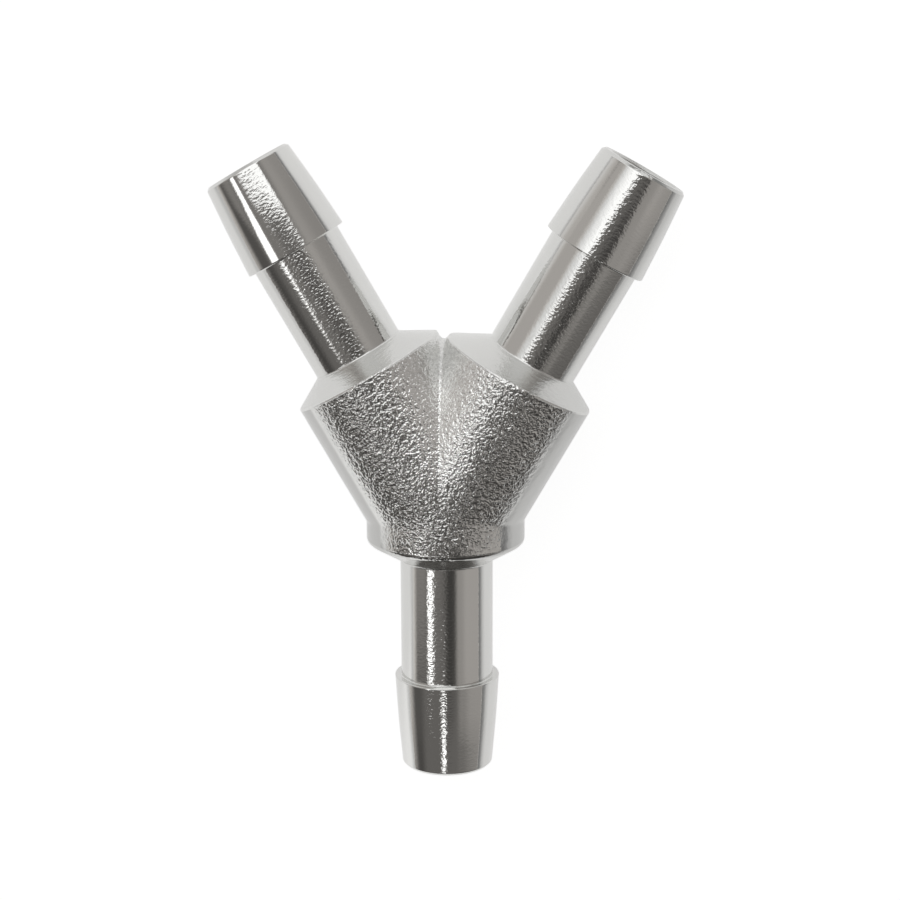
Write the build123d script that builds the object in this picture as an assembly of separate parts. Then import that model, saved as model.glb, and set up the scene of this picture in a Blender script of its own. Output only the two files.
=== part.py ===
from build123d import *

import os
from math import radians, tan

# Y connector for 8 mm (5/16 in) hose: one casting with three machined hose tails.
# All sizes are in millimetres. The part lies flat, as it comes to rest: +Z up, its two
# upper arms towards +Y and its lower arm towards -Y. The origin is the centre of its
# footprint, on the surface that it lies on.

# Driving sizes
arm_angle = 30.0           # each upper arm from the +Y axis
upper_stem_foot = 14.75    # crossing of the axes to the foot of an upper stem
lower_stem_foot = 4.85     # crossing of the axes to the foot of the lower stem
body_radius = 6.6          # cast lobes and collar
shoulder_slope = 30.0      # rise of the machined shoulder cones towards the body's axis
upper_rim_round = 0.15     # edge between a lobe's cast skin and its shoulder cone
lower_rim_round = 0.8      # the same edge on the collar
crease_round = 0.6         # casting fillet where two arms of the body meet

stem_radius = 3.95
stem_length = 10.15
barb_radius = 4.5
barb_length = 8.05
tip_radius = 3.9
tip_chamfer = 0.25

bore_radius = 2.9
mouth_chamfer = 0.2


def tail_profile(foot, rim_round):
    """Half section of one arm, drawn along +Y from the crossing, with its stem from foot."""
    rim = foot - (body_radius - stem_radius) * tan(radians(shoulder_slope))
    shoulder = foot + stem_length
    tip = shoulder + barb_length
    outline = Polyline(
        (0, 0),
        (body_radius, 0),
        (body_radius, rim),
        (stem_radius, foot),
        (stem_radius, shoulder),
        (barb_radius, shoulder),
        (tip_radius, tip - tip_chamfer),
        (tip_radius - tip_chamfer, tip),
        (0, tip),
        close=True,
    )
    section = make_face(outline)
    rim_corner = section.vertices().sort_by_distance((body_radius, rim))[0]
    return fillet(rim_corner, rim_round)


def bore_profile(foot):
    """Half section of the hole through one arm, with its chamfered mouth at the tip."""
    tip = foot + stem_length + barb_length
    outline = Polyline(
        (0, 0),
        (bore_radius, 0),
        (bore_radius, tip - mouth_chamfer),
        (bore_radius + mouth_chamfer, tip),
        (0, tip),
        close=True,
    )
    return make_face(outline)


def three_arms(upper_profile, lower_profile):
    """The three arms of the Y, turned from the profile of the upper arms and of the lower one."""
    upper = revolve(upper_profile, Axis.Y)
    lower = revolve(lower_profile, Axis.Y)
    return Rot(0, 0, arm_angle) * upper + Rot(0, 0, -arm_angle) * upper + Rot(0, 0, 180) * lower


def y_connector():
    """The whole connector, laid with its lowest line on Z = 0 and centred over the origin."""
    outside = three_arms(
        tail_profile(upper_stem_foot, upper_rim_round),
        tail_profile(lower_stem_foot, lower_rim_round),
    )
    creases = outside.edges().filter_by(GeomType.ELLIPSE)
    bores = three_arms(bore_profile(upper_stem_foot), bore_profile(lower_stem_foot))
    part = fillet(creases, crease_round) - bores
    box = part.bounding_box()
    middle = box.center()
    return Pos(-middle.X, -middle.Y, -box.min.Z) * part


os.makedirs("parts", exist_ok=True)
export_step(y_connector(), "parts/y_connector.step")
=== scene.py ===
from math import radians

import bmesh
import bpy
import numpy as np
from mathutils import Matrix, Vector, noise


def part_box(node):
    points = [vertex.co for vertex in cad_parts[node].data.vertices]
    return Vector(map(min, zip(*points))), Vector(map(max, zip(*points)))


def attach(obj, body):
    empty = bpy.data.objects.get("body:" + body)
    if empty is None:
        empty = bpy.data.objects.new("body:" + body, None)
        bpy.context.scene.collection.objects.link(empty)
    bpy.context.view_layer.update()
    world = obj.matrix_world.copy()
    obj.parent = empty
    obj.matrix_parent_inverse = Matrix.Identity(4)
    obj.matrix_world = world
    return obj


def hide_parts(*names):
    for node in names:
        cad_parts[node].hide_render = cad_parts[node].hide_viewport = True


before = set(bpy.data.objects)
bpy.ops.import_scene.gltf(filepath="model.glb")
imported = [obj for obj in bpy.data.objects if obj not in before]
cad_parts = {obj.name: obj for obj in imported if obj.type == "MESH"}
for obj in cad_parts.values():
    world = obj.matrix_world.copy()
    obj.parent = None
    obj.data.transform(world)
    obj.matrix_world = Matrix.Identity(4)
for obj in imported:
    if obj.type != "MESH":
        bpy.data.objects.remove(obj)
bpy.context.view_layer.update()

# ---------------------------------------------------------------- sizes, in mm
MM = 0.001
ARM_ANGLE = 30.0                 # each upper arm from +Y
UPPER_FOOT = 14.75               # crossing of the axes to the foot of an upper stem
LOWER_FOOT = 4.85
BODY_RADIUS = 6.6
SHOULDER_SLOPE = 30.0
UPPER_RIM_ROUND = 0.15
LOWER_RIM_ROUND = 0.5
STEM_RADIUS = 3.95
STEM_LENGTH = 10.15
BARB_RADIUS = 4.5
BARB_LENGTH = 8.05
TIP_RADIUS = 3.9
TIP_CHAMFER = 0.25
BORE_RADIUS = 2.9
MOUTH_CHAMFER = 0.2
LOWER_TIP = LOWER_FOOT + STEM_LENGTH + BARB_LENGTH

FOOT_ROUND = 0.12                # small rounds that turning and polishing leave
SHOULDER_ROUND = 0.07
TIP_ROUND = 0.08
MOUTH_ROUND = 0.04
BARB_CROWN = 0.05                # how far the middle of a barb stands out from a straight taper
CROWN_ROUND = 80.0               # radius of that bulge

# The casting is a little wider than it is high, and not quite central on the machined axes:
# how far it reaches to the side ahead of each arm and behind it. Ahead is towards the other
# upper arm, or to the left on the lower arm.
LEFT_REACH = (6.73, 6.6)
RIGHT_REACH = (7.02, 6.42)
LOWER_REACH = (6.81, 6.67)

# As turned, the arms are a little off their nominal size: how much longer the body, the stem
# and the barb of each one are.
LEFT_CUT = (0.0, 0.0, -0.06)
RIGHT_CUT = (-0.27, 0.06, -0.13)
LOWER_CUT = (-0.07, 0.2, 0.02)

# Polishing has left the turning marks in one band along each tail: where the middle of the
# band is, to the side of the axis and as a share of the radius, and how strong the marks are
# on the stem and on the barb.
LEFT_POLISH = (0.14, 1.2, 0.33)
RIGHT_POLISH = (0.0, 1.0, 0.7)
LOWER_POLISH = (0.1, 0.6, 0.5)
BAND_WHOLE = 0.16                # the band's half width, as a share of the radius: at full
BAND_END = 0.32                  # strength, and where it has faded out
POLISHED_AWAY = 0.82             # share of the marks that is gone outside the band

# Width of the blends where the cast cylinders meet
CREASE_BLEND = 0.45              # between the upper arms, all along the crease
CROTCH_BLEND = 0.35              # added to it in the crotch, at half height
COLLAR_BLEND = 0.08
LEAST_BLEND = 1e-4

# The cast grain, from coarse to fine: features to a mm, height, and a shift that keeps the
# three patterns apart
GRAIN = [
    (0.55, 0.014, (7, 0, 0)),
    (1.5, 0.008, (0, 3, 0)),
    (2.6, 0.005, (0, 0, 5)),
]
PARTING_GRAIN = 0.3              # share of the grain that is left at half height

# ---------------------------------------------------------------- mesh density
COLUMNS = 272                    # around each arm; a multiple of 4
UPPER_BODY_ROWS = 90
LOWER_BODY_ROWS = 24
BORE_ROWS = 4
ARC_STEPS = 2
SETTLING_STEPS = 4
EDGE_SUPPORT = 0.05              # flat faces keep their shading up to this far from a round

CAST, TURNED, TAIL, BORE = range(4)


# ---------------------------------------------------------------- profile of an arm
def smooth_step(value, low, high):
    """Rises smoothly from 0 at low to 1 at high; falls if low is the higher."""
    t = np.clip((value - low) / (high - low), 0, 1)
    return t * t * (3 - 2 * t)


def rounded_corner(before, corner, after, radius):
    """Points of an arc that replaces a corner, with one supporting point on each side of it."""
    before, corner, after = map(np.array, (before, corner, after))
    into = (corner - before) / np.linalg.norm(corner - before)
    out = (after - corner) / np.linalg.norm(after - corner)
    turn = np.arccos(np.clip(into @ out, -1, 1))
    reach = radius * np.tan(turn / 2)
    side = np.array([-into[1], into[0]])
    side *= np.sign(side @ out)
    centre = corner - into * reach + side * radius
    angles = np.linspace(0, turn, ARC_STEPS + 1)
    arc = [centre - side * radius * np.cos(a) + into * radius * np.sin(a) for a in angles]
    support_before = arc[0] - into * EDGE_SUPPORT
    support_after = arc[-1] + out * EDGE_SUPPORT
    return [support_before] + arc + [support_after]


def arm_profile(foot, stem_length, barb_length, rim_round, body_radius):
    """Points (along the arm, radius) from the rim of the body to the bore, each with its finish.

    The finish of a point is that of the strip that leads to it.
    """
    rise = (body_radius - STEM_RADIUS) * np.tan(radians(SHOULDER_SLOPE))
    shoulder = foot + stem_length
    tip = shoulder + barb_length
    crown_radius = (BARB_RADIUS + TIP_RADIUS) / 2 + BARB_CROWN
    corners = [
        ((0, body_radius), None, CAST),
        ((foot - rise, body_radius), rim_round, CAST),
        ((foot, STEM_RADIUS), FOOT_ROUND, TURNED),
        ((shoulder, STEM_RADIUS), SHOULDER_ROUND, TAIL),
        ((shoulder, BARB_RADIUS), SHOULDER_ROUND, TAIL),
        ((shoulder + barb_length / 2, crown_radius), CROWN_ROUND, TAIL),
        ((tip - TIP_CHAMFER, TIP_RADIUS), TIP_ROUND, TAIL),
        ((tip, TIP_RADIUS - TIP_CHAMFER), TIP_ROUND, TAIL),
        ((tip, BORE_RADIUS + MOUTH_CHAMFER), MOUTH_ROUND, TURNED),
        ((tip - MOUTH_CHAMFER, BORE_RADIUS), MOUTH_ROUND, BORE),
        ((0, BORE_RADIUS), None, BORE),
    ]
    points = []
    for i in range(1, len(corners) - 1):
        (corner, radius, finish) = corners[i]
        arc = rounded_corner(corners[i - 1][0], corner, corners[i + 1][0], radius)
        points += [(point, finish) for point in arc]
    return points


class Arm:
    """One arm of the Y: its axis, the level direction across it, and the wedge it fills."""

    def __init__(self, angle, foot, cut, rim_round, body_rows, gap_ahead, gap_behind, reach,
                 polish, mirrored=False):
        a = radians(angle)
        self.axis = np.array([-np.sin(a), np.cos(a), 0])
        self.across = np.array([np.cos(a), np.sin(a), 0]) * (-1 if mirrored else 1)
        self.foot = foot + cut[0]
        self.stem_length = STEM_LENGTH + cut[1]
        self.barb_length = BARB_LENGTH + cut[2]
        self.rim_round = rim_round
        self.body_rows = body_rows
        self.gaps = (radians(gap_ahead), radians(gap_behind))
        self.polish = polish
        self.half_width = sum(reach) / 2
        self.offset = (reach[0] - reach[1]) / 2

    def distance(self, points):
        """Distance of points from the skin of this arm's cast body."""
        side = (points @ self.across - self.offset) * BODY_RADIUS / self.half_width
        behind = np.minimum(points @ self.axis, 0)
        return np.sqrt(side ** 2 + points[:, 2] ** 2 + behind ** 2) - BODY_RADIUS

    def body_radius(self, cosine, sine):
        """Radius of the cast body, from the arm's own axis."""
        width, height = self.half_width, BODY_RADIUS
        a = (cosine / width) ** 2 + (sine / height) ** 2
        b = -2 * cosine * self.offset / width ** 2
        c = (self.offset / width) ** 2 - 1
        return (np.sqrt(b * b - 4 * a * c) - b) / (2 * a)

    def start(self, cosine, radius):
        """Where each line along the arm leaves the plane that it shares with its neighbour."""
        side = radius * cosine
        ahead, behind = self.gaps
        return np.where(side > 0, side / np.tan(ahead), -side / np.tan(behind))

    def rows(self):
        """The arm's rings of points, from the shared planes out to the tip and back inside."""
        phi = np.arange(COLUMNS) * 2 * np.pi / COLUMNS
        cosine, sine = np.cos(phi), np.sin(phi)
        body = self.body_radius(cosine, sine)
        lengths = (self.foot, self.stem_length, self.barb_length)
        profiles = [arm_profile(*lengths, self.rim_round, radius) for radius in body]
        finishes = [finish for _, finish in profiles[0]]
        profile = np.array([[point for point, _ in column] for column in profiles])
        first, last = profile[:, 0, 0], profile[:, -1, 0]
        rings = []
        outer = self.start(cosine, BODY_RADIUS)
        for t in np.linspace(0, 1, self.body_rows + 1)[:-1]:
            along, radius = outer + (first - outer) * t, BODY_RADIUS + (body - BODY_RADIUS) * t
            rings.append((along, radius, CAST))
        for i, finish in enumerate(finishes):
            rings.append((profile[:, i, 0], profile[:, i, 1], finish))
        inner = self.start(cosine, BORE_RADIUS)
        for t in np.linspace(0, 1, BORE_ROWS + 1)[1:]:
            rings.append((last + (inner - last) * t, BORE_RADIUS, BORE))
        points, finishes = [], []
        for along, radius, finish in rings:
            ring = along[:, None] * self.axis + (radius * cosine)[:, None] * self.across
            ring[:, 2] = radius * sine
            points.append(ring)
            finishes.append(finish)
        return np.array(points), finishes

    def place(self, points):
        """Coordinates of points in the arm's own frame: across, along, up."""
        return np.stack([points @ self.across, points @ self.axis, points[:, 2]], 1)

    def relief(self, points):
        """How strong the turning marks are at each point, as a share of their usual depth."""
        across, along, up = self.place(points).T
        to_side = across / np.hypot(across, up)
        centre, on_stem, on_barb = self.polish
        most = np.where(along > self.foot + self.stem_length, on_barb, on_stem)
        worn = smooth_step(np.abs(to_side - centre), BAND_WHOLE, BAND_END)
        return most * (1 - POLISHED_AWAY * worn)


# half the angle between two neighbouring arms
UPPER_GAP = ARM_ANGLE
LOWER_GAP = (180 - ARM_ANGLE) / 2
ARMS = [
    Arm(ARM_ANGLE, UPPER_FOOT, LEFT_CUT, UPPER_RIM_ROUND, UPPER_BODY_ROWS, UPPER_GAP, LOWER_GAP,
        LEFT_REACH, LEFT_POLISH),
    Arm(-ARM_ANGLE, UPPER_FOOT, RIGHT_CUT, UPPER_RIM_ROUND, UPPER_BODY_ROWS, UPPER_GAP,
        LOWER_GAP, RIGHT_REACH, RIGHT_POLISH, mirrored=True),
    Arm(180, LOWER_FOOT, LOWER_CUT, LOWER_RIM_ROUND, LOWER_BODY_ROWS, LOWER_GAP, LOWER_GAP,
        LOWER_REACH, LOWER_POLISH),
]


# ---------------------------------------------------------------- cast skin
def smooth_min(a, b, blend):
    """The lower of two distances, rounded where they are nearly the same."""
    overlap = np.maximum(blend - np.abs(a - b), 0)
    return np.minimum(a, b) - overlap ** 2 / (4 * blend)


def skin_distance(points):
    """Distance of points from the casting's skin: three cylinders with rounded creases.

    The creases are widest at half height, and the one between the upper arms ends where it
    reaches the collar.
    """
    left, right, lower = (arm.distance(points) for arm in ARMS)
    meeting = np.clip(1 - (points[:, 2] / BODY_RADIUS) ** 2, LEAST_BLEND, 1)
    crease = CREASE_BLEND * meeting + CROTCH_BLEND * meeting ** 3
    crease = np.maximum(crease * smooth_step(points[:, 1], -1, 2), LEAST_BLEND)
    return smooth_min(smooth_min(left, right, crease), lower, COLLAR_BLEND * meeting)


def gradient(function, points, step=0.002):
    """Slope of a function of place, by differences."""
    slopes = []
    for axis in np.eye(3) * step:
        slopes.append((function(points + axis) - function(points - axis)) / (2 * step))
    return np.stack(slopes, 1)


def grain(point):
    """Height of the cast grain at a point, in mm."""
    return sum(height * noise.noise(point * density + shift) for density, height, shift in GRAIN)


def cast_skin(points, weight):
    """Moves cast points onto the rounded creases, then raises the grain on them.

    A few steps down the slope of the distance settle each point. The grain is lower on the
    flanks, near the parting line.
    """
    for _ in range(SETTLING_STEPS):
        slope = gradient(skin_distance, points)
        distance = skin_distance(points)
        points = points - (distance / (slope ** 2).sum(1))[:, None] * slope
    normal = gradient(skin_distance, points)
    normal /= np.linalg.norm(normal, axis=1)[:, None]
    height = np.array([grain(point) for point in points]) * weight
    above_parting = smooth_step(np.abs(points[:, 2]) / BODY_RADIUS, 0.1, 0.5)
    height *= PARTING_GRAIN + (1 - PARTING_GRAIN) * above_parting
    return points + normal * height[:, None]


def cast_relief(points):
    """How strong the fine grain is, from 0 to 1.

    It is nearly gone on the flanks, weak on the collar, and weaker in the notch on top.
    """
    across, up = np.abs(points[:, 0]), np.abs(points[:, 2])
    along = points[:, 1]
    flank = smooth_step(up / BODY_RADIUS, 0.9, 0.6) * smooth_step(across, 2.5, 4.5)
    collar = smooth_step(-along, 1.5, 3.5)
    notch = smooth_step(along, 9.5, 13) * smooth_step(across, 3, 1)
    return (1 - 0.95 * flank) * (1 - 0.75 * collar) * (1 - 0.5 * notch)


def valley(points):
    """1 in the crease between the upper arms, falling to 0 at its sides and at the collar.

    Tumbling does not reach into it, so it is satin; its paler colour is painted sheen. It is wider
    towards the top.
    """
    across, along = np.abs(points[:, 0]), points[:, 1]
    return smooth_step(across, 2.6 + 0.25 * along, 0.8) * smooth_step(along, 1, 5)


# ---------------------------------------------------------------- the connector's mesh
def connector_mesh():
    """One closed mesh of the whole connector, with a finish for each face, in mm."""
    points, places, reliefs, quads, finishes, weights = [], [], [], [], [], []
    offset = 0
    for arm in ARMS:
        rings, strip = arm.rows()
        count = len(strip)
        flat = rings.reshape(-1, 3)
        points.append(flat)
        places.append(arm.place(flat))
        reliefs.append(arm.relief(flat))
        index = offset + np.arange(count * COLUMNS).reshape(count, COLUMNS)
        ahead = np.roll(index, -1, axis=1)
        quads.append(np.stack([index[:-1], ahead[:-1], ahead[1:], index[1:]], -1).reshape(-1, 4))
        finishes += [f for f in strip[1:] for _ in range(COLUMNS)]
        skin = np.zeros(count)
        skin[:arm.body_rows + 1] = 1
        weights.append(np.repeat(skin, COLUMNS))
        offset += count * COLUMNS
    points, places, reliefs, weights, quads = map(
        np.concatenate, (points, places, reliefs, weights, quads))
    # neighbouring arms share the points on the plane between them
    _, first, shared = np.unique(
        np.round(points, 5), axis=0, return_index=True, return_inverse=True)
    points, places, reliefs, weights = (
        values[first] for values in (points, places, reliefs, weights))
    quads = shared.reshape(-1)[quads]
    cast = weights > 0
    points[cast] = cast_skin(points[cast], weights[cast])
    reliefs[cast] = cast_relief(points[cast])
    return points, places, reliefs, quads, np.array(finishes)


def crossing():
    """Where the axes of the three arms cross, in the frame, in mm."""
    low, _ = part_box("y_connector")
    return np.array([0, low[1] / MM + LOWER_TIP, low[2] / MM + BODY_RADIUS])


def build_connector(materials):
    """The connector as one piece, with one material for each finish."""
    points, places, reliefs, quads, finishes = connector_mesh()
    mesh = bpy.data.meshes.new("y_connector_metal")
    mesh.from_pydata(((points + crossing()) * MM).tolist(), [], quads.tolist())
    for material in materials:
        mesh.materials.append(material)
    mesh.polygons.foreach_set("material_index", finishes)
    mesh.polygons.foreach_set("use_smooth", np.ones(len(quads), bool))
    arm_place = mesh.attributes.new("arm_place", "FLOAT_VECTOR", "POINT")
    arm_place.data.foreach_set("vector", places.ravel())
    mesh.attributes.new("relief", "FLOAT", "POINT").data.foreach_set("value", reliefs)
    mesh.attributes.new("valley", "FLOAT", "POINT").data.foreach_set("value", valley(points))
    mesh.update()
    piece = bpy.data.objects.new("y_connector_metal", mesh)
    bpy.context.scene.collection.objects.link(piece)
    return piece


def face_outwards(piece):
    """Turns all faces the same way, out of the metal."""
    work = bmesh.new()
    work.from_mesh(piece.data)
    bmesh.ops.recalc_face_normals(work, faces=work.faces)
    work.to_mesh(piece.data)
    work.free()


# ---------------------------------------------------------------- shader helpers
class Tree:
    """A node tree with short calls for the few nodes that the materials and world need."""

    def __init__(self, owner):
        owner.use_nodes = True
        self.tree = owner.node_tree
        self.tree.nodes.clear()

    def add(self, kind, inputs=None, **settings):
        """A new node, with its settings and then its inputs."""
        node = self.tree.nodes.new(kind)
        for name, value in settings.items():
            setattr(node, name, value)
        for name, value in (inputs or {}).items():
            self.put(node, name, value)
        return node

    def put(self, node, name, value):
        """Sets one input, by name or number, to a value or to another node's output."""
        socket = node.inputs[name]
        if isinstance(value, bpy.types.NodeSocket):
            self.tree.links.new(value, socket)
        elif isinstance(value, bpy.types.Node):
            self.tree.links.new(value.outputs[0], socket)
        else:
            socket.default_value = value

    def math(self, operation, *values, clamp=False):
        """Result of one operation on numbers or other nodes' outputs."""
        node = self.add("ShaderNodeMath", operation=operation, use_clamp=clamp)
        for i, value in enumerate(values):
            self.put(node, i, value)
        return node.outputs[0]

    def step(self, value, low, high):
        """Rises smoothly from 0 at low to 1 at high; falls if low is the higher."""
        node = self.add("ShaderNodeMapRange", interpolation_type="SMOOTHSTEP", clamp=True)
        self.put(node, "Value", value)
        flip = low > high
        self.put(node, "From Min", min(low, high))
        self.put(node, "From Max", max(low, high))
        self.put(node, "To Min", 1.0 if flip else 0.0)
        self.put(node, "To Max", 0.0 if flip else 1.0)
        return node.outputs[0]

    def product(self, *values):
        """All the values multiplied together."""
        result = values[0]
        for value in values[1:]:
            result = self.math("MULTIPLY", result, value)
        return result

    def mix(self, share, low, high):
        """Number between low and high."""
        node = self.add("ShaderNodeMix", data_type="FLOAT")
        self.put(node, 0, share)
        self.put(node, 2, low)
        self.put(node, 3, high)
        return node.outputs[0]

    def blend(self, share, low, high):
        """Colour between low and high."""
        node = self.add("ShaderNodeMix", {0: share, 6: low, 7: high}, data_type="RGBA")
        return node.outputs[2]

    def curve(self, value, points):
        """Number read off a smooth line through (place, height) points.

        Places run from -1 to 1.
        """
        place = self.math("MULTIPLY_ADD", value, 0.5, 0.5, clamp=True)
        ramp = self.add("ShaderNodeValToRGB", {"Fac": place})
        ramp.color_ramp.interpolation = "EASE"
        elements = ramp.color_ramp.elements
        while len(elements) > 1:
            elements.remove(elements[-1])
        for i, (x, height) in enumerate(points):
            element = elements[0] if i == 0 else elements.new((x + 1) / 2)
            element.position = (x + 1) / 2
            element.color = (height, height, height, 1)
        return ramp.outputs[0]


# ---------------------------------------------------------------- metal
# Colour of the bare metal in each place, with painted shade on the flanks and a painted sheen in
# the valley
TURNED_METAL = (0.72, 0.72, 0.705, 1)
PEAK_METAL = (0.76, 0.76, 0.745, 1)        # the cast skin, but for the places that follow
PIT_METAL = (0.58, 0.58, 0.57, 1)          # low spots of the grain
# painted shade: the flanks are made darker than the rest of the skin
FLANK_PAINTED_SHADE = (0.54, 0.54, 0.53, 1)
# painted sheen: the valley is made paler than the rest of the skin
VALLEY_PAINTED_SHEEN = (0.92, 0.92, 0.91, 1)

# Roughness of each finish
CAST_ROUGHNESS = 0.05
VALLEY_ROUGHNESS = 0.24
TURNED_ROUGHNESS = 0.22
TAIL_ROUGHNESS = 0.08
BORE_ROUGHNESS = 0.4

# Fine relief of each finish, in mm
GRAIN_DEPTH = 0.135
CONE_RING_DEPTH = 0.028
TAIL_MARK_DEPTH = 0.036
BORE_RING_DEPTH = 0.03


def metal(name, roughness):
    """A new material of bare metal, with its node tree and its shader."""
    material = bpy.data.materials.new(name)
    nodes = Tree(material)
    shader = nodes.add("ShaderNodeBsdfPrincipled")
    shader.inputs["Metallic"].default_value = 1.0
    shader.inputs["Base Color"].default_value = TURNED_METAL
    shader.inputs["Roughness"].default_value = roughness
    output = nodes.add("ShaderNodeOutputMaterial")
    nodes.put(output, "Surface", shader.outputs[0])
    return material, nodes, shader


def noise_at(nodes, place, scale, detail=1.0, roughness=0.5):
    """Smooth random height at a place in mm, with scale features for each mm."""
    texture = nodes.add("ShaderNodeTexNoise", {"Vector": place})
    texture.inputs["Scale"].default_value = scale
    texture.inputs["Detail"].default_value = detail
    texture.inputs["Roughness"].default_value = roughness
    return texture.outputs[0]


def bump(nodes, shader, height, depth):
    """Raises a height of 0 to 1 by depth mm."""
    node = nodes.add("ShaderNodeBump", {"Height": height})
    node.inputs["Strength"].default_value = 1.0
    node.inputs["Distance"].default_value = depth * MM
    nodes.put(shader, "Normal", node.outputs[0])


def attribute(nodes, name):
    """A number that the mesh carries at each point."""
    return nodes.add("ShaderNodeAttribute", attribute_name=name).outputs["Fac"]


def place_in_mm(nodes):
    """The object's own coordinates, in mm."""
    coordinates = nodes.add("ShaderNodeTexCoord")
    scaled = nodes.add("ShaderNodeVectorMath", operation="SCALE")
    nodes.put(scaled, 0, coordinates.outputs["Object"])
    scaled.inputs["Scale"].default_value = 1 / MM
    return scaled.outputs[0]


def place_on_arm(nodes, across, along):
    """Coordinates on an arm, with their own number of features across and along it."""
    place = nodes.add("ShaderNodeAttribute", attribute_name="arm_place")
    scaled = nodes.add("ShaderNodeVectorMath", operation="MULTIPLY")
    nodes.put(scaled, 0, place.outputs["Vector"])
    scaled.inputs[1].default_value = (across, along, across)
    return scaled.outputs[0]


def cast_metal():
    """Bright grained skin: satin in the valley with a paler colour there as painted sheen, darker
    in its pits, and darker on the flanks as painted shade.
    """
    material, nodes, shader = metal("cast_skin", CAST_ROUGHNESS)
    in_valley = attribute(nodes, "valley")
    relief = attribute(nodes, "relief")
    height = noise_at(nodes, place_in_mm(nodes), 3.4, detail=1.0, roughness=0.7)
    bump(nodes, shader, nodes.product(height, relief), GRAIN_DEPTH)
    nodes.put(shader, "Roughness", nodes.mix(in_valley, CAST_ROUGHNESS, VALLEY_ROUGHNESS))
    # the relief is nearly gone only on the flanks, and it fades from 1 in the notch on top; so it
    # also places the painted flank shade and the painted valley sheen
    painted_flank_shade = nodes.step(relief, 0.2, 0.05)
    below_notch = nodes.step(relief, 0.5, 1.0)
    in_pit = nodes.product(nodes.step(height, 0.58, 0.36), relief)
    # painted shade on the flanks
    colour = nodes.blend(painted_flank_shade, PEAK_METAL, FLANK_PAINTED_SHADE)
    colour = nodes.blend(in_pit, colour, PIT_METAL)
    # painted sheen in the valley, but not in the notch or on the collar
    colour = nodes.blend(nodes.product(in_valley, below_notch), colour, VALLEY_PAINTED_SHEEN)
    nodes.put(shader, "Base Color", colour)
    return material


def turned_metal():
    """Satin cone with fine rings from the tool."""
    material, nodes, shader = metal("turned_cone", TURNED_ROUGHNESS)
    rings = noise_at(nodes, place_on_arm(nodes, 1.8, 5.0), 1.0, detail=2.5)
    bump(nodes, shader, rings, CONE_RING_DEPTH)
    return material


def tail_metal():
    """Bright tail: polishing has worn the turning marks to short ridges round the tail."""
    material, nodes, shader = metal("tail", TAIL_ROUGHNESS)
    marks = noise_at(nodes, place_on_arm(nodes, 3.6, 5.2), 1.0, detail=1.5)
    bump(nodes, shader, nodes.product(marks, attribute(nodes, "relief")), TAIL_MARK_DEPTH)
    return material


def bore_metal():
    """Dull drilled bore with rings from the drill."""
    material, nodes, shader = metal("bore", BORE_ROUGHNESS)
    rings = noise_at(nodes, place_on_arm(nodes, 0.4, 5.0), 1.0, detail=2.0)
    bump(nodes, shader, rings, BORE_RING_DEPTH)
    return material


# ---------------------------------------------------------------- stage
FLOOR_HALF = 0.6                 # metres, as are all places on the floor
FLOOR_FADE = 0.15                # to the left and right, over which its light falls off
# Share of the light of the floor, from left (-1) to right (1) over that distance
FLOOR_FALLOFF = [
    (-1, 0.6), (-0.5, 0.75), (-0.25, 0.95), (0.0, 0.95), (0.13, 0.9), (0.25, 0.7), (0.37, 0.44),
    (0.55, 0.32), (1, 0.25),
]
SEEN_GLOW = 0.92                 # the floor's own light, as the camera sees it
SEEN_PAPER = 0.22                # and what the room's light adds where no shadow falls
MIRRORED_GLOW = 0.6              # the same two in the metal
MIRRORED_PAPER = 0.62
FRONT_GLOW = 0.76                # in the metal, in front of the part on the left


def floor():
    """A floor that looks white, and is pale in the metal, but keeps the shadow."""
    mesh = bpy.data.meshes.new("floor")
    corners = [(x * FLOOR_HALF, y * FLOOR_HALF, 0) for x, y in ((-1, -1), (1, -1), (1, 1), (-1, 1))]
    mesh.from_pydata(corners, [], [(0, 1, 2, 3)])
    plane = bpy.data.objects.new("floor", mesh)
    bpy.context.scene.collection.objects.link(plane)
    material = bpy.data.materials.new("floor")
    mesh.materials.append(material)
    nodes = Tree(material)
    path = nodes.add("ShaderNodeLightPath")
    mirror = path.outputs["Is Glossy Ray"]
    position = nodes.add("ShaderNodeNewGeometry").outputs["Position"]
    x, y, _ = nodes.add("ShaderNodeSeparateXYZ", {"Vector": position}).outputs
    falloff = nodes.curve(nodes.math("DIVIDE", x, FLOOR_FADE), FLOOR_FALLOFF)
    front_left = nodes.product(nodes.step(y, -0.022, -0.036), nodes.step(x, 0.0, -0.02))
    seen = nodes.product(path.outputs["Is Camera Ray"], SEEN_GLOW)
    mirrored = nodes.product(mirror, falloff, nodes.mix(front_left, MIRRORED_GLOW, FRONT_GLOW))
    glow = nodes.add("ShaderNodeEmission", {"Strength": nodes.math("ADD", seen, mirrored)})
    shade = nodes.mix(mirror, SEEN_PAPER, nodes.product(falloff, MIRRORED_PAPER))
    paper = nodes.add("ShaderNodeBsdfDiffuse", {"Color": shade})
    both = nodes.add("ShaderNodeAddShader")
    nodes.put(both, 0, glow.outputs[0])
    nodes.put(both, 1, paper.outputs[0])
    output = nodes.add("ShaderNodeOutputMaterial")
    nodes.put(output, "Surface", both.outputs[0])


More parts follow.
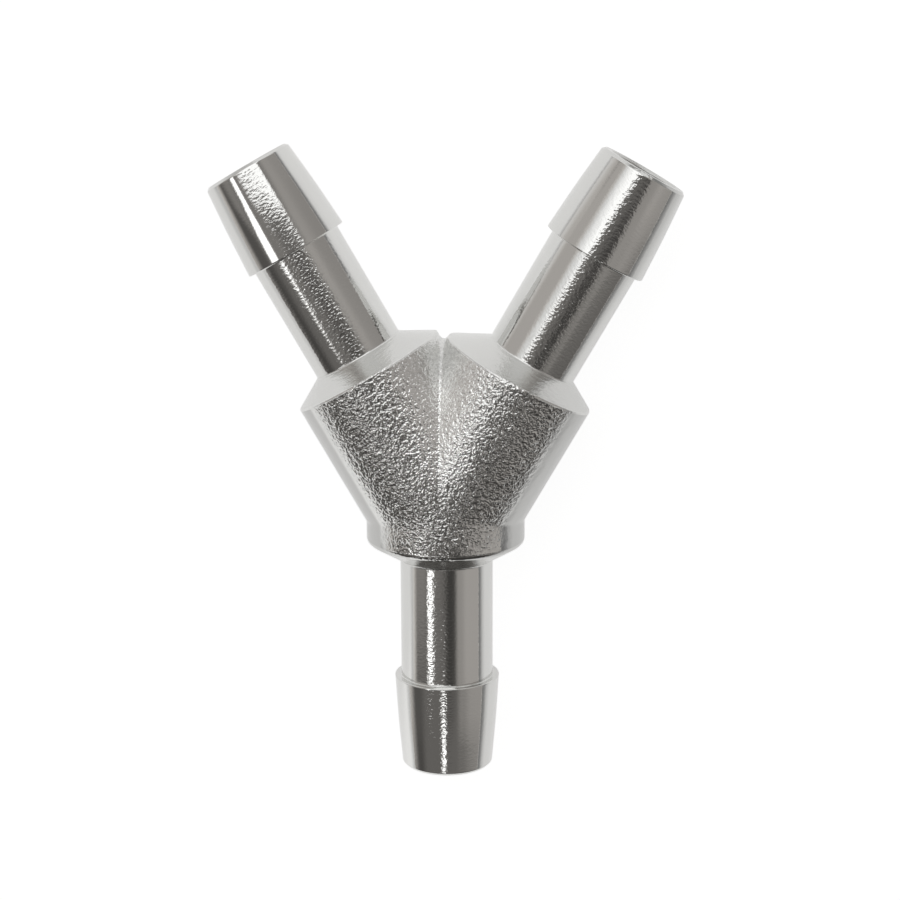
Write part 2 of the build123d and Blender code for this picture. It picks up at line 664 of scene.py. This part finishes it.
class Ceiling:
    """Soft shapes on a ceiling over the part, by direction.

    Places on it are to the right and to the back, in heights of the ceiling above the part.
    """

    def __init__(self, nodes, x, y, z):
        self.nodes = nodes
        height = nodes.math("MAXIMUM", z, 0.05)
        self.right = nodes.math("DIVIDE", x, height)
        self.back = nodes.math("DIVIDE", y, height)

    def above(self, slope, start, soft):
        """All that lies behind the line back = start + slope * right."""
        line = self.nodes.math("MULTIPLY_ADD", self.right, slope, start)
        return self.nodes.step(self.nodes.math("SUBTRACT", self.back, line), -soft, soft)

    def span(self, value, low, high, soft):
        """All that lies between low and high."""
        over = self.nodes.step(value, low - soft, low + soft)
        under = self.nodes.step(value, high + soft, high - soft)
        return self.nodes.product(over, under)

    def slant(self, slope, outer, inner):
        """Rises where right + slope * back goes from outer to inner."""
        place = self.nodes.math("MULTIPLY_ADD", self.back, slope, self.right)
        return self.nodes.step(place, outer, inner)

    def spot(self, right, back, inner, outer):
        """Round patch, whole inside its inner radius."""
        nodes = self.nodes
        place = nodes.add("ShaderNodeCombineXYZ", {"X": nodes.math("SUBTRACT", self.right, right)})
        nodes.put(place, "Y", nodes.math("SUBTRACT", self.back, back))
        away = nodes.add("ShaderNodeVectorMath", {0: place}, operation="LENGTH")
        return nodes.step(away.outputs["Value"], outer, inner)


# Brightness of the parts of the room, where 1 is white
MIDDLE_LIGHT = 0.15
HAZE_LIGHT = 0.22
CAMERA_LIGHT = 0.055             # the darkest spot, round the camera
FRONT_LIGHT = 0.05
BACK_LIGHT = 0.85
STRIP_LIGHT = 1.9
SMALL_LIGHT = 2.0
SWEEP_LIGHT = 0.72
UNDER_LIGHT = 0.6                # below the horizon
# Brightness of the side walls, from the front (-1) to the back (1)
LEFT_WALL = [
    (-1, 0.04), (-0.56, 0.065), (-0.44, 0.1), (-0.36, 0.1), (-0.28, 0.24), (0.0, 0.42),
    (0.34, 0.46), (0.5, 0.52), (0.8, 0.8), (1, 0.8),
]
RIGHT_WALL = [
    (-1, 0.05), (-0.75, 0.08), (-0.6, 0.16), (-0.52, 0.22), (-0.48, 0.31), (-0.42, 0.36),
    (-0.3, 0.42), (0.0, 0.38), (0.3, 0.34), (0.5, 0.3), (0.65, 0.3), (0.85, 0.7), (1, 0.8),
]
# Brightness of the main light, from the left (-1) to the right (1) of the ceiling
MAIN_LIGHT = [
    (-1, 0.46), (-0.85, 0.58), (-0.74, 0.73), (-0.64, 0.87), (-0.54, 1.04), (-0.46, 1.2),
    (-0.3, 1.38), (1, 1.4),
]
DIM_TINT = (1.05, 1.0, 0.955, 1)           # the room's dim parts are warm, and its lights white
LIGHT_TINT = (1.0, 1.0, 1.0, 1)


def dark_middle(nodes, ceiling):
    """The dim middle of the ceiling, with a lighter haze on the left."""
    haze = ceiling.spot(-0.45, -0.05, inner=0.1, outer=0.45)
    light = nodes.mix(haze, MIDDLE_LIGHT, HAZE_LIGHT)
    return nodes.mix(ceiling.spot(0.26, -0.27, inner=0.05, outer=0.4), light, CAMERA_LIGHT)


def walls(nodes, x, y, light):
    """Adds the four walls to the light: the front one is dark and the back one bright."""
    # the upper part of the right wall is dimmer in front and brighter behind
    upper = nodes.mix(nodes.step(y, 0.1, 0.3), 0.8, 1.2)
    right = nodes.product(
        nodes.curve(y, RIGHT_WALL), nodes.mix(nodes.step(x, 0.6, 0.8), upper, 1.0))
    light = nodes.mix(nodes.step(x, -0.66, -0.8), light, nodes.curve(y, LEFT_WALL))
    light = nodes.mix(nodes.step(x, 0.36, 0.56), light, right)
    light = nodes.mix(nodes.step(y, -0.6, -0.8), light, FRONT_LIGHT)
    return nodes.mix(nodes.step(y, 0.62, 0.8), light, BACK_LIGHT)


def lamps(nodes, ceiling, light):
    """Adds the lamps: a broad one that fades to the left, a long one on the left, a small one."""
    main = nodes.product(
        ceiling.above(0.5, 0.2, soft=0.02),
        ceiling.above(0.0, -0.02, soft=0.05),
        nodes.step(ceiling.right, 0.56, 0.44),
        nodes.step(ceiling.back, 1.5, 1.1),
    )
    light = nodes.mix(main, light, nodes.curve(ceiling.right, MAIN_LIGHT))
    strip = nodes.product(
        ceiling.slant(-0.7, -0.81, -0.7),
        ceiling.slant(0.6, -0.72, -0.82),
        ceiling.above(0.22, -0.285, soft=0.05),
        nodes.step(ceiling.back, 0.13, 0.03),
    )
    light = nodes.mix(strip, light, STRIP_LIGHT)
    small = nodes.product(
        ceiling.span(ceiling.right, -0.155, 0.01, soft=0.045),
        ceiling.span(ceiling.back, -0.7, -0.52, soft=0.03),
    )
    return nodes.mix(small, light, SMALL_LIGHT)


def horizon(nodes, x, y, z, light):
    """Adds a white sweep low down on the left, and the light below the horizon."""
    sweep = nodes.product(
        nodes.step(z, 0.27, 0.0), nodes.step(x, 0.0, -0.6), nodes.step(y, -0.62, -0.3))
    light = nodes.mix(sweep, light, SWEEP_LIGHT)
    return nodes.mix(nodes.step(z, -0.01, 0.01), UNDER_LIGHT, light)


def studio():
    """The room as the metal sees it: lamps overhead, a dark middle and grey walls."""
    world = bpy.data.worlds.new("studio")
    bpy.context.scene.world = world
    nodes = Tree(world)
    direction = nodes.add("ShaderNodeTexCoord").outputs["Generated"]
    x, y, z = nodes.add("ShaderNodeSeparateXYZ", {"Vector": direction}).outputs
    ceiling = Ceiling(nodes, x, y, z)
    light = dark_middle(nodes, ceiling)
    light = walls(nodes, x, y, light)
    light = lamps(nodes, ceiling, light)
    light = horizon(nodes, x, y, z, light)
    # the camera itself sees a white backdrop
    path = nodes.add("ShaderNodeLightPath")
    light = nodes.mix(path.outputs["Is Camera Ray"], light, 1.0)
    tint = nodes.blend(nodes.step(light, 0.45, 0.9), DIM_TINT, LIGHT_TINT)
    background = nodes.add("ShaderNodeBackground", {"Color": tint, "Strength": light})
    output = nodes.add("ShaderNodeOutputWorld")
    nodes.put(output, "Surface", background.outputs[0])
    # the lamps have sharp edges, so the renderer aims at them with a fine map of the room
    world.cycles.sampling_method = "MANUAL"
    world.cycles.sample_map_resolution = 1024


FILM_WIDTH = 36                  # mm, as is the lens
LENS = 78.74
CAMERA_PLACE = (12.314, 40.280, 162.316)   # from the crossing of the axes, in mm
CAMERA_TURN = (-12.356, 4.223, -0.228)     # degrees about x, y and z


def camera():
    """Looks down at the part from where the photograph was taken."""
    data = bpy.data.cameras.new("camera")
    data.sensor_width = FILM_WIDTH
    data.lens = LENS
    data.clip_start = 0.01
    view = bpy.data.objects.new("camera", data)
    bpy.context.scene.collection.objects.link(view)
    view.location = (crossing() + CAMERA_PLACE) * MM
    view.rotation_mode = "ZXY"
    view.rotation_euler = [radians(turn) for turn in CAMERA_TURN]
    bpy.context.scene.camera = view


# ---------------------------------------------------------------- put together
connector = build_connector([cast_metal(), turned_metal(), tail_metal(), bore_metal()])
face_outwards(connector)
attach(connector, "root")
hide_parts("y_connector")

floor()
studio()
camera()
bpy.context.scene.view_settings.view_transform = "Standard"
